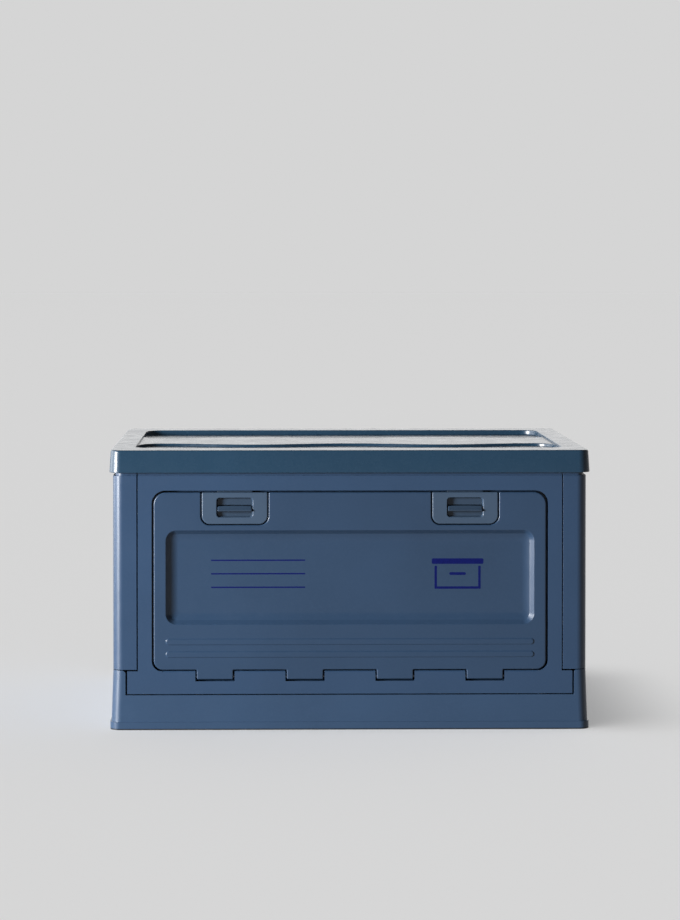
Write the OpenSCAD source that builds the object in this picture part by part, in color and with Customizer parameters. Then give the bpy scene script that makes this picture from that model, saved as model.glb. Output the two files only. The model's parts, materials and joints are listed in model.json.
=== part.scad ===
// Folding storage crate with a cap lid and a drop-down front door.
// X runs along the long side, the front faces -Y and Z points up.
// The origin is the centre of the footprint, on the ground.

/* [Overall] */
// Length over the lid's skirt
lid_w = 520; // [440:5:600]
// Depth over the lid's skirt
lid_d = 360; // [330:5:420]
// Height to the top of the lid's rim
total_h = 302; // [285:1:340]
// Thickness of the moulded skins
skin = 3; // [2.5:0.1:3.5]
// Gap between pieces that lie edge to edge
seam = 1.2; // [0.8:0.1:1.4]

/* [Base tray] */
// Height of the foot flange
foot_h = 8.4; // [6:0.2:10]
// Height of the base's long sides
base_h = 37.2; // [36:0.1:38]
// Height of the base's short sides and corners
base_corner_h = 63.9; // [63:0.1:64]
// Top of the floor
floor_z = 7.5; // [6:0.5:8]
// Width of each raised corner, seen from the front
base_corner_w = 13.7; // [12:0.1:15]

/* [Walls] */
// Depth of the long walls and of the short walls
wall_t = 14; // [13:0.5:15]
// Width of the corner column of a short wall
column_w = 25.8; // [22:0.2:30]
// Height of the shoulder under the lid
shoulder_z = 274.3; // [270:0.1:276]
// Height of the walls' hidden top edge
wall_top_z = 291.5; // [289:0.1:291.5]
// Outer corner radius of the short walls
corner_r = 11; // [9:0.5:13]
// Height of the lower edge of the short walls
short_wall_z = 64.6; // [64.4:0.1:65]

/* [Wall hinges] */
// Radius of every hinge rod
rod_r = 2; // [1.5:0.1:2.2]
// Running clearance round a rod
rod_gap = 0.05; // [0.02:0.01:0.1]
// Height of the front wall's hinge
front_hinge_z = 16; // [15.5:0.1:17]
// Height of the back wall's hinge
back_hinge_z = 33; // [32.5:0.1:33]
// Height of the short walls' hinges
short_hinge_z = 57; // [56:0.1:58]
// Distance of a long wall's hinge behind its outer face
long_hinge_in = 10.2; // [10:0.1:10.4]
// Width of a hinge lug
lug_w = 24; // [16:1:30]

/* [Front door] */
// Width of the door
door_w = 425.6; // [400:0.2:430]
// Height of the door's lower edge
door_z0 = 64.2; // [64:0.1:65]
// Height of the door's upper edge
door_z1 = 257; // [255:0.1:258]
// Radius of the door's upper corners
door_top_r = 13; // [10:0.5:15]
// Radius of the door's lower corners
door_low_r = 10; // [8:0.5:12]
// Width of the recessed field over its outer edge
field_w = 398; // [380:1:402]
// Depth of the recessed field
field_depth = 6; // [3:0.5:6]
// Width of one knuckle
knuckle_w = 40; // [30:1:44]
// Distance between neighbouring knuckles
knuckle_pitch = 97.3; // [92:0.1:100]
// Height of the door's hinge
door_hinge_z = 57; // [56.8:0.1:57.2]

/* [Latches] */
// Distance of each latch from the middle
latch_x = 124.5; // [110:0.5:135]
// Width of a latch housing
latch_w = 71.5; // [66:0.5:74]
// Height of the latch housing's lower edge
latch_z0 = 221.9; // [221:0.1:223]
// Width of the finger window
window_w = 39; // [34:0.5:42]
// Travel of the slider into the top rail
latch_travel = 5; // [4:0.1:5]

/* [Lid] */
// Height of the skirt's lower edge
lid_z0 = 277.8; // [277:0.1:279]
// Width of the rim along the short sides
lid_side_rim = 25.5; // [20:0.5:30]
// Width of the rim along the long sides
lid_long_rim = 37; // [30:0.5:40]
// Width of each trough beside the raised middle
trough_w = 92; // [50:1:95]

/* [Hidden] */
$fn = 48;

body_blue = [0.22, 0.31, 0.42];
lid_blue = [0.19, 0.30, 0.39];
latch_blue = [0.27, 0.34, 0.44];
steel_grey = [0.62, 0.63, 0.65];
through = 1;
bore_r = rod_r + rod_gap;

// how far joined bodies reach into each other
weld = 0.5;

// outer faces of the upright walls
wall_inset = 3.8;
half_w = lid_w / 2 - wall_inset;
half_d = lid_d / 2 - wall_inset;
column_in_x = half_w - column_w;
wall_in_y = half_d - wall_t;
wall_in_x = half_w - wall_t;
neck_back = 3;

// base tray
base_taper = 1.8;
flange_out = 1.3;
base_wall_t = 4;
base_in_x = half_w - base_wall_t;
base_in_y = half_d - base_wall_t;
base_cut_x = half_w - base_corner_w;
base_shoulder_r = 4;
floor_t = 4;
foot_rib_t = 2.4;
foot_rib_h = 2.7;
foot_rib_dx = 96;
foot_rib_dy = 88;

// long walls
long_wall_z = base_h + seam;
long_wall_x = column_in_x - seam;
ear_gap = 1.8;
ear_x = base_cut_x - ear_gap;
ear_drop = 1.6;
ear_top_z = short_wall_z - ear_drop;
ear_r = 0.6;
opening_gap = 1.4;
rib_t = 2.2;
rib_depth = 8;
lug_r = 5;
base_lug_r = 4.5;
base_lug_w = 6;
lug_gap = 0.4;
lug_back = 4;
lug_front = 3.8;
ear_relief = 0.3;
long_ear_in = 3.5;
short_ear_in = 1.5;
long_lug_x = [-195, -65, 65, 195];
short_lug_y = [-110, 0, 110];
long_hinge_y = half_d - long_hinge_in;
short_hinge_in = 9.2;
short_hinge_x = half_w - short_hinge_in;
long_rod_l = 440;
short_rod_l = 270;

// front door and its hinge
face_y = -half_d;
door_t = 12;
door_in_y = face_y + door_t;
door_hinge_in = 4.5;
door_hinge_y = face_y + door_hinge_in;
knuckle_r = 4.2;
knuckle_drop = 3.1;
knuckle_gap = 1.2;
knuckle_reach = 8;
notch_z = door_hinge_z - door_hinge_in - 0.4;
scoop_r = 6.2;
bar_round = 1.7;
bar_top_z = door_z0 - 1;
bar_low_z = door_hinge_z - 9;
bar_in_y = face_y + 11;
border_lift = 2.6;
stop_gap = 0.4;
stop_overlap = 1.5;
frame_rib_zs = [110, 160, 210];
frame_rib_w = 16;
back_rib_xs = [-150, -50, 50, 150];
door_rib_xs = [-150, -75, 0, 75, 150];
door_rod_l = 372;
knuckle_xs = [for (i = [-1.5, -0.5, 0.5, 1.5]) i * knuckle_pitch];
field_z0 = 113.5;
field_z1 = 215.3;
field_slope = 6;
field_r = 11.5;
field_floor_r = 8.5;
face_rib_w = field_w;
face_rib_h = 6.8;
face_rib_r = 3.3;
face_rib_out = 0.8;
face_rib_zs = [81.1, 94.8];

// latches
latch_gap = 0.8;
latch_low_r = 9;
latch_plate_t = 4;
window_z0 = 229.4;
window_z1 = 250.5;
window_r = 3;
slider_w = 44;
slider_z0 = 223.8;
slider_z1 = 251;
slider_y = face_y + 5;
slider_t = 3;
tongue_w = 38;
keeper_gap = 1;
tongue_z1 = door_z1 + 1.1;
thumb_w = 38;
thumb_h = 6.5;
thumb_z = 238.6;
thumb_out = 2.4;
guide_w = 3;
guide_gap = 0.4;
cover_t = 2;
cover_w = 94;
cover_z0 = 214;
cover_z1 = 255;
screw_dx = 41;
screw_z = 236;
screw_r = 1.2;
screw_hole_r = 1.25;
screw_head_r = 3;
screw_head_h = 1.5;
screw_len = 9;
boss_r = 4;

// lid
lid_r = 13;
lid_draft = 1.4;
lid_edge_r = 2;
lid_skin = 2.6;
lid_ceiling_z = 292.8;
lid_recess_z = 296.5;
lid_recess_r = 20;
plateau_drop = 2.5;
recess_w = lid_w - 2 * lid_side_rim;
recess_d = lid_d - 2 * lid_long_rim;
plateau_d = recess_d - 2 * trough_w;
lid_rest_l = 240;
lid_rest_w = 9;
lid_rest_gap = 0.2;

// ribs and hand grips of the short walls
short_rib_y = 110;
grip_w = 112;
grip_h = 34;
grip_z = 226;
grip_r = 14;
short_rib_ys = [-wall_in_y + skin / 2, -short_rib_y, short_rib_y, wall_in_y - skin / 2];
short_rib_zs = [118, 171];

// ---- shared shapes ----

// a rectangle with true round corners
module rounded_rect(w, d, r) {
    square([w - 2 * r, d], center = true);
    square([w, d - 2 * r], center = true);
    for (sx = [-1, 1], sy = [-1, 1])
        translate([sx * (w / 2 - r), sy * (d / 2 - r)])
            circle(r);
}

// a flat slab between two heights
module rounded_slab(w, d, r, z0, z1) {
    translate([0, 0, z0])
        linear_extrude(z1 - z0)
            rounded_rect(w, d, r);
}

// stands a drawing of X and Z up between two depths
module upright(y0, y1) {
    translate([0, y1, 0])
        rotate([90, 0, 0])
            linear_extrude(y1 - y0)
                children();
}

// a rectangle given by its edges, with its own corner radius at each end
module edge_rect(x0, x1, z0, z1, low_r, top_r) {
    translate([x0, z0 + low_r])
        square([x1 - x0, z1 - z0 - low_r - top_r]);
    round_end(x0, x1, z0 + low_r, low_r);
    round_end(x0, x1, z1 - top_r, top_r);
}

// two round corners and the strip between them, or nothing for a square end
module round_end(x0, x1, z, r) {
    if (r > 0) {
        translate([x0 + r, z - r])
            square([x1 - x0 - 2 * r, 2 * r]);
        for (x = [x0 + r, x1 - r])
            translate([x, z])
                circle(r);
    }
}

// extrudes a drawing of Y and Z along X
module along_x(x0, x1) {
    translate([x0, 0, 0])
        rotate([90, 0, 90])
            linear_extrude(x1 - x0)
                children();
}

// a block given by its lowest and its highest corner
module block(low, high) {
    translate(low)
        cube(high - low);
}

// a cylinder along X
module bar_x(r, length, x, y, z) {
    translate([x, y, z])
        rotate([0, 90, 0])
            cylinder(r = r, h = length, center = true);
}

// a cylinder along Y
module bar_y(r, length, x, y, z) {
    translate([x, y, z])
        rotate([90, 0, 0])
            cylinder(r = r, h = length, center = true);
}

// the door's outline, grown by a margin on every side
module door_outline(margin) {
    edge_rect(-door_w / 2 - margin, door_w / 2 + margin, door_z0 - margin, door_z1 + margin,
              door_low_r + margin, door_top_r + margin);
}

// the slope-sided pocket of the recessed field, cut into an outer face at -Y
module field_pocket() {
    hull() {
        upright(face_y - through, face_y)
            edge_rect(-field_w / 2, field_w / 2, field_z0, field_z1, field_r, field_r, $fn = 32);
        upright(face_y + field_depth - 0.1, face_y + field_depth)
            edge_rect(field_slope - field_w / 2, field_w / 2 - field_slope,
                      field_z0 + field_slope, field_z1 - field_slope,
                      field_floor_r, field_floor_r, $fn = 32);
    }
}

// the backing that closes the recessed field on the inside
module field_backing() {
    upright(face_y + skin - weld, face_y + field_depth + skin)
        edge_rect(-field_w / 2 - skin, field_w / 2 + skin, field_z0 - skin, field_z1 + skin,
                  field_r, field_r);
}

// the two raised ribs under the recessed field
module face_ribs() {
    for (z = face_rib_zs)
        upright(face_y - face_rib_out, face_y + weld)
            edge_rect(-face_rib_w / 2, face_rib_w / 2, z - face_rib_h / 2, z + face_rib_h / 2,
                      face_rib_r, face_rib_r);
}

// ---- base tray ----

// solid outer shape of the tray: a foot flange under slightly leaning sides
module base_outer() {
    top_w = 2 * half_w;
    top_d = 2 * half_d;
    foot_w = top_w + 2 * (base_taper + flange_out);
    foot_d = top_d + 2 * (base_taper + flange_out);
    rounded_slab(foot_w, foot_d, corner_r, 0, foot_h);
    hull() {
        rounded_slab(top_w + 2 * base_taper, top_d + 2 * base_taper, corner_r, foot_h - weld,
                     foot_h, $fn = 32);
        rounded_slab(top_w, top_d, corner_r, base_corner_h - weld, base_corner_h, $fn = 32);
    }
}

// side view of a tray ear that carries a long wall's rod, at the -Y side
module long_ear_profile(z) {
    translate([-long_hinge_y, z])
        circle(base_lug_r);
    translate([-base_in_y - weld, z - base_lug_r + ear_relief])
        square([base_in_y + weld - long_hinge_y, 2 * (base_lug_r - ear_relief)]);
    translate([-base_in_y - weld, floor_z - weld])
        square([base_in_y + long_ear_in - long_hinge_y, z - floor_z + weld]);
}

// side view of a tray ear that carries a short wall's rod, at the -X side
module short_ear_profile() {
    translate([-short_hinge_x, short_hinge_z])
        circle(base_lug_r);
    translate([-base_in_x - weld, floor_z - weld])
        square([base_in_x + short_ear_in - short_hinge_x, short_hinge_z - floor_z + weld]);
    translate([-base_in_x - weld, short_hinge_z - base_lug_r + ear_relief])
        square([base_in_x + weld - short_hinge_x, 2 * (base_lug_r - ear_relief)]);
}

// the pair of ears beside a long wall's lug at x, at the -Y side
module long_ears(x, z) {
    for (side = [-1, 1]) {
        ear_x0 = x + side * (lug_w + base_lug_w + 2 * lug_gap) / 2;
        along_x(ear_x0 - base_lug_w / 2, ear_x0 + base_lug_w / 2)
            long_ear_profile(z);
    }
}

// the pair of ears beside a short wall's lug at y, at the -X side
module short_ears(y) {
    for (side = [-1, 1]) {
        ear_y0 = y + side * (lug_w + base_lug_w + 2 * lug_gap) / 2;
        upright(ear_y0 - base_lug_w / 2, ear_y0 + base_lug_w / 2)
            short_ear_profile();
    }
}

// the lattice that stiffens the floor from below
module foot_ribs() {
    translate([0, 0, floor_z - floor_t - foot_rib_h])
        linear_extrude(foot_rib_h + weld) {
            for (i = [-2:2])
                translate([i * foot_rib_dx, 0])
                    square([foot_rib_t, 2 * base_in_y + 1], center = true);
            for (i = [-1:1])
                translate([0, i * foot_rib_dy])
                    square([2 * base_in_x + 1, foot_rib_t], center = true);
        }
}

// what is missing above the long sides: a wide gap between round-shouldered corners
module base_cut() {
    shoulder_r = base_shoulder_r;
    shoulder_top = base_corner_h - shoulder_r;
    translate([-base_cut_x, base_h])
        square([2 * base_cut_x, lid_w]);
    difference() {
        translate([-base_cut_x - shoulder_r, shoulder_top])
            square([2 * (base_cut_x + shoulder_r), lid_w]);
        for (side = [-1, 1]) {
            translate([side * (base_cut_x + shoulder_r), shoulder_top])
                circle(shoulder_r);
            translate([side * (base_cut_x + shoulder_r + lid_w / 2), base_corner_h])
                square([lid_w, lid_w], center = true);
        }
    }
}

module base_tray() {
    color(body_blue)
        difference() {
            union() {
                difference() {
                    base_outer();
                    rounded_slab(2 * base_in_x, 2 * base_in_y, corner_r - base_wall_t, -through,
                                 base_corner_h + through);
                    // the long sides are lower than the short sides
                    upright(-lid_d, lid_d)
                        base_cut();
                }
                rounded_slab(2 * base_in_x + 1, 2 * base_in_y + 1, corner_r - base_wall_t,
                             floor_z - floor_t, floor_z);
                foot_ribs();
                for (x = long_lug_x) {
                    long_ears(x, front_hinge_z);
                    mirror([0, 1, 0])
                        long_ears(x, back_hinge_z);
                }
                for (y = short_lug_y, side = [0, 1])
                    mirror([side, 0, 0])
                        short_ears(y);
            }
            bar_x(bore_r, long_rod_l, 0, -long_hinge_y, front_hinge_z);
            bar_x(bore_r, long_rod_l, 0, long_hinge_y, back_hinge_z);
            for (side = [-1, 1])
                bar_y(bore_r, short_rod_l, side * short_hinge_x, 0, short_hinge_z);
        }
}

// ---- short walls ----

// plan of a short wall's outer edge, set back by an amount, at the -X side
module short_plan(back) {
    difference() {
        rounded_rect(2 * (half_w - back), 2 * (half_d - back), corner_r - back);
        translate([-column_in_x, -lid_d])
            square([2 * lid_w, 2 * lid_d]);
    }
}

// plan of the L-shaped columns and of the panel between them
module short_full_plan(back) {
    difference() {
        short_plan(back);
        square([2 * wall_in_x, 2 * wall_in_y], center = true);
    }
}

// plan of the outer skin alone
module short_skin_plan(back) {
    difference() {
        short_plan(back);
        rounded_rect(2 * (half_w - back - skin), 2 * (half_d - back - skin),
                     corner_r - back - skin);
    }
}

// a ring of the given wall thickness round the hand grip
module grip_shape(grow) {
    rounded_rect(grip_w + 2 * grow, grip_h + 2 * grow, grip_r + grow);
}

// the grip's drawing pushed through the wall at the -X side
module grip_block(grow, x0, x1) {
    translate([x0, 0, grip_z])
        rotate([90, 0, 90])
            linear_extrude(x1 - x0)
                grip_shape(grow);
}

// a short wall, drawn at the -X side
module short_wall() {
    color(body_blue)
        difference() {
            union() {
                // outer skin, with its neck under the lid
                translate([0, 0, short_wall_z])
                    linear_extrude(shoulder_z - short_wall_z)
                        short_skin_plan(0);
                translate([0, 0, shoulder_z - skin])
                    linear_extrude(wall_top_z - shoulder_z + skin)
                        short_skin_plan(neck_back);
                // lower border, shoulder border and top border
                translate([0, 0, short_wall_z])
                    linear_extrude(skin)
                        short_full_plan(0);
                translate([0, 0, shoulder_z - skin])
                    linear_extrude(skin)
                        short_full_plan(0);
                translate([0, 0, wall_top_z - skin])
                    linear_extrude(skin)
                        short_full_plan(neck_back);
                // upright borders where the columns meet the long walls
                for (side = [-1, 1])
                    translate([0, 0, short_wall_z])
                        linear_extrude(wall_top_z - short_wall_z)
                            intersection() {
                                short_full_plan(neck_back);
                                translate([-column_in_x - skin / 2, side * half_d])
                                    square([skin, 2 * wall_t], center = true);
                            }
                // uprights at the inner corner of each column, and ribs on the panel
                for (y = short_rib_ys)
                    block([-half_w + skin - weld, y - rib_t / 2, short_wall_z],
                          [-wall_in_x, y + rib_t / 2, wall_top_z]);
                for (z = short_rib_zs)
                    block([-half_w + skin - weld, -wall_in_y, z - rib_t / 2],
                          [-half_w + skin + rib_depth, wall_in_y, z + rib_t / 2]);
                grip_block(skin, -half_w + weld, -wall_in_x);
                for (y = short_lug_y)
                    upright(y - lug_w / 2, y + lug_w / 2) {
                        translate([-short_hinge_x, short_hinge_z])
                            circle(lug_r);
                        translate([-short_hinge_x - 4, short_hinge_z])
                            square([8, short_wall_z + 1 - short_hinge_z]);
                    }
            }
            grip_block(0, -lid_w, 0);
            bar_y(bore_r, short_rod_l, -short_hinge_x, 0, short_hinge_z);
        }
}

module left_side_wall() {
    short_wall();
}

module right_side_wall() {
    mirror([1, 0, 0])
        short_wall();
}

// ---- long walls ----

// outline of a long wall with its two lower ears
module long_outline(top_z) {
    translate([-long_wall_x, long_wall_z])
        square([2 * long_wall_x, top_z - long_wall_z]);
    edge_rect(-ear_x, ear_x, long_wall_z, ear_top_z, 0, ear_r);
}

// skin and borders that the front wall and the back wall share, at the -Y side
module long_shell() {
    upright(face_y, face_y + skin)
        long_outline(shoulder_z);
    upright(face_y + neck_back, face_y + neck_back + skin)
        long_outline(wall_top_z);
    // borders: lower edge, shoulder, top edge and the two ends
    block([-long_wall_x, face_y + weld, long_wall_z],
          [long_wall_x, -wall_in_y, long_wall_z + skin]);
    block([-long_wall_x, face_y + weld, shoulder_z - skin], [long_wall_x, -wall_in_y, shoulder_z]);
    block([-long_wall_x, face_y + neck_back, wall_top_z - skin],
          [long_wall_x, -wall_in_y, wall_top_z]);
    for (side = [-1, 1])
        block([side * (long_wall_x - skin / 2) - skin / 2, face_y + neck_back, long_wall_z],
              [side * (long_wall_x - skin / 2) + skin / 2, -wall_in_y, wall_top_z]);
}

// the lugs that reach down to a long wall's hinge
module long_lugs(hinge_z) {
    for (x = long_lug_x)
        along_x(x - lug_w / 2, x + lug_w / 2) {
            translate([-long_hinge_y, hinge_z])
                circle(lug_r);
            translate([-long_hinge_y - lug_back, hinge_z])
                square([lug_back + lug_front, long_wall_z + skin - hinge_z]);
        }
}

// what the door, its knuckles and its rod take out of the front wall
module door_clearance() {
    upright(-lid_d, face_y + door_t + stop_gap)
        difference() {
            door_outline(opening_gap);
            translate([-lid_w, 0])
                square([2 * lid_w, bar_top_z]);
        }
    upright(-lid_d, 0)
        difference() {
            door_outline(-stop_overlap);
            translate([-lid_w, 0])
                square([2 * lid_w, bar_top_z]);
        }
    notch_w = knuckle_w + 2 * knuckle_gap;
    for (x = knuckle_xs) {
        bar_x(scoop_r, notch_w, x, door_hinge_y, door_hinge_z);
        block([x - notch_w / 2, face_y - through, notch_z],
              [x + notch_w / 2, 0, bar_top_z + through]);
    }
    bar_x(bore_r, door_rod_l, 0, door_hinge_y, door_hinge_z);
}

// the front wall's lower rail, with its upper front edge rounded for the door's swing
module lower_rail() {
    rail_x = door_w / 2 - door_low_r;
    along_x(-rail_x, rail_x) {
        translate([face_y, bar_low_z])
            square([bar_in_y - face_y, bar_top_z - bar_round - bar_low_z]);
        translate([face_y + bar_round, bar_top_z - 2 * bar_round])
            square([bar_in_y - face_y - bar_round, 2 * bar_round]);
        translate([face_y + bar_round, bar_top_z - bar_round])
            circle(bar_round);
    }
}

module front_wall_frame() {
    keeper_w = tongue_w + 2 * keeper_gap;
    stile_x = (long_wall_x + door_w / 2) / 2;
    color(body_blue)
        difference() {
            union() {
                difference() {
                    union() {
                        long_shell();
                        // lip behind the door's edge, which stops the door when it closes
                        upright(face_y + door_t + stop_gap, -wall_in_y)
                            difference() {
                                door_outline(opening_gap + skin);
                                door_outline(-stop_overlap);
                                translate([-lid_w, 0])
                                    square([2 * lid_w, door_z0 + door_low_r]);
                            }
                        // border round the door opening
                        upright(face_y + weld, -wall_in_y)
                            difference() {
                                door_outline(opening_gap + skin);
                                translate([-lid_w, 0])
                                    square([2 * lid_w, bar_top_z + 2]);
                            }
                    }
                    // room for the lower rail, which is a separate profile
                    upright(-lid_d, 0)
                        translate([-door_w / 2 + door_low_r, door_hinge_z])
                            square([door_w - 2 * door_low_r, door_low_r]);
                }
                lower_rail();
                // ribs in the two stiles and in the strip below the door
                for (side = [-1, 1], z = frame_rib_zs)
                    block([side * stile_x - frame_rib_w / 2, face_y + weld, z - rib_t / 2],
                          [side * stile_x + frame_rib_w / 2, -wall_in_y, z + rib_t / 2]);
                for (x = knuckle_xs)
                    block([x + knuckle_w - rib_t / 2, face_y + weld, long_wall_z],
                          [x + knuckle_w + rib_t / 2, bar_in_y, bar_top_z - 3]);
                long_lugs(front_hinge_z);
            }
            door_clearance();
            // slots in the top rail that take the latch tongues
            for (side = [-1, 1])
                block([side * latch_x - keeper_w / 2, slider_y - keeper_gap, door_z1],
                      [side * latch_x + keeper_w / 2, slider_y + slider_t + keeper_gap,
                       tongue_z1 + latch_travel + through]);
            bar_x(bore_r, long_rod_l, 0, -long_hinge_y, front_hinge_z);
        }
}

module back_wall_panel() {
    color(body_blue)
        mirror([0, 1, 0])
            difference() {
                union() {
                    long_shell();
                    field_backing();
                    face_ribs();
                    for (x = back_rib_xs)
                        block([x - rib_t / 2, face_y + weld, long_wall_z],
                              [x + rib_t / 2, -wall_in_y, wall_top_z]);
                    long_lugs(back_hinge_z);
                }
                field_pocket();
                bar_x(bore_r, long_rod_l, 0, -long_hinge_y, back_hinge_z);
            }
}

// ---- front door ----

// outline of a latch housing, grown by a margin, running past the door's upper edge
module latch_outline(margin, z1) {
    edge_rect(latch_x - latch_w / 2 - margin, latch_x + latch_w / 2 + margin, latch_z0 - margin,
              z1, latch_low_r + margin, 0);
}

// one knuckle of the door, flush with its outer face
module knuckle(x) {
    along_x(x - knuckle_w / 2, x + knuckle_w / 2) {
        translate([door_hinge_y, door_hinge_z])
            circle(knuckle_r);
        translate([face_y, door_hinge_z - knuckle_drop])
            square([door_hinge_in, door_z0 + knuckle_reach - door_hinge_z + knuckle_drop]);
        translate([door_hinge_y - weld, door_hinge_z])
            square([knuckle_r, door_z0 + knuckle_reach - door_hinge_z]);
    }
}

module door_panel() {
    color(body_blue)
        difference() {
            union() {
                upright(face_y, face_y + skin)
                    door_outline(0);
                // border: the lower one stands higher, so that the door clears the rail
                upright(face_y + weld, door_in_y)
                    difference() {
                        door_outline(0);
                        edge_rect(-door_w / 2 + skin, door_w / 2 - skin, door_z0 + border_lift + skin,
                                  door_z1 - skin, door_low_r - skin, door_top_r - skin);
                        translate([-lid_w, 0])
                            square([2 * lid_w, door_z0 + border_lift]);
                    }
                field_backing();
                face_ribs();
                for (x = knuckle_xs)
                    knuckle(x);
                // bosses for the latch covers' screws
                for (side = [-1, 1], dx = [-screw_dx, screw_dx])
                    bar_y(boss_r, door_t - weld, side * latch_x + dx, (face_y + door_in_y + weld) / 2,
                          screw_z);
                // ribs behind the strip below the field
                for (x = door_rib_xs)
                    block([x - rib_t / 2, face_y + weld, door_z0 + 3],
                          [x + rib_t / 2, face_y + field_depth + skin, field_z0]);
            }
            field_pocket();
            for (side = [0, 1])
                mirror([side, 0, 0])
                    upright(-lid_d, 0)
                        latch_outline(latch_gap, lid_w);
            for (side = [-1, 1], dx = [-screw_dx, screw_dx])
                bar_y(screw_hole_r, 2 * screw_len, side * latch_x + dx, door_in_y, screw_z);
            bar_x(bore_r, door_rod_l, 0, door_hinge_y, door_hinge_z);
        }
}

// ---- latches, drawn on the +X side ----

module latch_housing() {
    color(latch_blue)
        difference() {
            union() {
                upright(face_y, face_y + latch_plate_t)
                    latch_outline(0, door_z1);
                // guides beside the slider, and the housing's border
                for (side = [-1, 1]) {
                    guide_x = latch_x + side * (slider_w / 2 + guide_gap + guide_w / 2);
                    block([guide_x - guide_w / 2, face_y + weld, latch_z0 + 2],
                          [guide_x + guide_w / 2, door_in_y, door_z1]);
                }
                block([latch_x - slider_w / 2 - 1, face_y + weld, latch_z0],
                      [latch_x + slider_w / 2 + 1, door_in_y, slider_z0 - 0.4]);
            }
            upright(-lid_d, face_y + latch_plate_t + through)
                edge_rect(latch_x - window_w / 2, latch_x + window_w / 2, window_z0, window_z1,
                          window_r, window_r);
        }
}

module latch_slider() {
    color(latch_blue) {
        block([latch_x - slider_w / 2, slider_y, slider_z0],
              [latch_x + slider_w / 2, slider_y + slider_t, slider_z1]);
        block([latch_x - tongue_w / 2, slider_y, slider_z1 - 1],
              [latch_x + tongue_w / 2, slider_y + slider_t, tongue_z1]);
        upright(face_y - thumb_out, slider_y + weld)
            edge_rect(latch_x - thumb_w / 2, latch_x + thumb_w / 2, thumb_z - thumb_h / 2,
                      thumb_z + thumb_h / 2, 2, 2);
    }
}

module latch_cover() {
    color(latch_blue)
        difference() {
            upright(door_in_y, door_in_y + cover_t)
                edge_rect(latch_x - cover_w / 2, latch_x + cover_w / 2, cover_z0, cover_z1, 4, 4);
            for (dx = [-screw_dx, screw_dx])
                bar_y(screw_hole_r + 0.4, 4 * cover_t, latch_x + dx, door_in_y, screw_z);
        }
}

module left_latch_housing() {
    mirror([1, 0, 0])
        latch_housing();
}

module right_latch_housing() {
    latch_housing();
}

module left_latch_slider() {
    mirror([1, 0, 0])
        latch_slider();
}

module right_latch_slider() {
    latch_slider();
}

module left_latch_cover() {
    mirror([1, 0, 0])
        latch_cover();
}

module right_latch_cover() {
    latch_cover();
}

module latch_cover_screws() {
    head_y = door_in_y + cover_t;
    color(steel_grey)
        for (side = [-1, 1], dx = [-screw_dx, screw_dx]) {
            x = side * latch_x + dx;
            bar_y(screw_r, screw_len, x, head_y - screw_len / 2 + weld, screw_z);
            bar_y(screw_head_r, screw_head_h, x, head_y + screw_head_h / 2, screw_z);
        }
}

// ---- hinge rods ----

module door_hinge_rod() {
    color(steel_grey)
        bar_x(rod_r, door_rod_l - 2, 0, door_hinge_y, door_hinge_z);
}

module front_wall_hinge_rod() {
    color(steel_grey)
        bar_x(rod_r, long_rod_l - 2, 0, -long_hinge_y, front_hinge_z);
}

module back_wall_hinge_rod() {
    color(steel_grey)
        bar_x(rod_r, long_rod_l - 2, 0, long_hinge_y, back_hinge_z);
}

module left_wall_hinge_rod() {
    color(steel_grey)
        bar_y(rod_r, short_rod_l - 2, -short_hinge_x, 0, short_hinge_z);
}

module right_wall_hinge_rod() {
    color(steel_grey)
        bar_y(rod_r, short_rod_l - 2, short_hinge_x, 0, short_hinge_z);
}

// ---- lid ----

// the outside of the cap: a skirt that leans out a little, under a rounded edge
module lid_outer() {
    top_w = lid_w - 2 * lid_draft;
    top_d = lid_d - 2 * lid_draft;
    hull() {
        rounded_slab(lid_w, lid_d, lid_r, lid_z0, lid_z0 + 0.1, $fn = 32);
        rounded_slab(top_w, top_d, lid_r - lid_draft, total_h - lid_edge_r - 0.1,
                     total_h - lid_edge_r, $fn = 32);
        rounded_slab(top_w - 1.2, top_d - 1.2, lid_r - lid_draft - 0.6, total_h - 0.7,
                     total_h - 0.6, $fn = 32);
        rounded_slab(top_w - 2 * lid_edge_r, top_d - 2 * lid_edge_r,
                     lid_r - lid_draft - lid_edge_r, total_h - 0.1, total_h, $fn = 32);
    }
}

// the hollow under the cap, which follows the rim and the raised middle
module lid_hollow() {
    in_w = lid_w - 2 * lid_skin;
    in_d = lid_d - 2 * lid_skin;
    in_r = lid_r - lid_skin;
    top_z = total_h - lid_skin;
    rounded_slab(in_w, in_d, in_r, lid_z0 - through, lid_ceiling_z);
    difference() {
        rounded_slab(in_w - 2 * lid_draft, in_d - 2 * lid_draft, in_r - lid_draft,
                     lid_ceiling_z - weld, top_z);
        rounded_slab(recess_w + 2 * lid_skin, recess_d + 2 * lid_skin, lid_recess_r + lid_skin,
                     lid_z0, total_h);
    }
    rounded_slab(recess_w - 2 * lid_skin, plateau_d - 2 * lid_skin, 4, lid_ceiling_z - weld,
                 top_z - plateau_drop);
}

module lid() {
    plateau_z = total_h - plateau_drop;
    rest_x = wall_in_x + lid_rest_w / 2 + 1.5;
    color(lid_blue) {
        difference() {
            lid_outer();
            lid_hollow();
            // two troughs beside the raised middle, inside the rim
            difference() {
                rounded_slab(recess_w, recess_d, lid_recess_r, lid_recess_z, total_h + through);
                block([-lid_w, -plateau_d / 2, lid_z0], [lid_w, plateau_d / 2, plateau_z]);
            }
        }
        // ribs under the rim that sit on the short walls
        for (side = [-1, 1])
            block([side * rest_x - lid_rest_w / 2, -lid_rest_l / 2, wall_top_z + lid_rest_gap],
                  [side * rest_x + lid_rest_w / 2, lid_rest_l / 2, total_h - lid_skin + weld]);
    }
}

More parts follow.
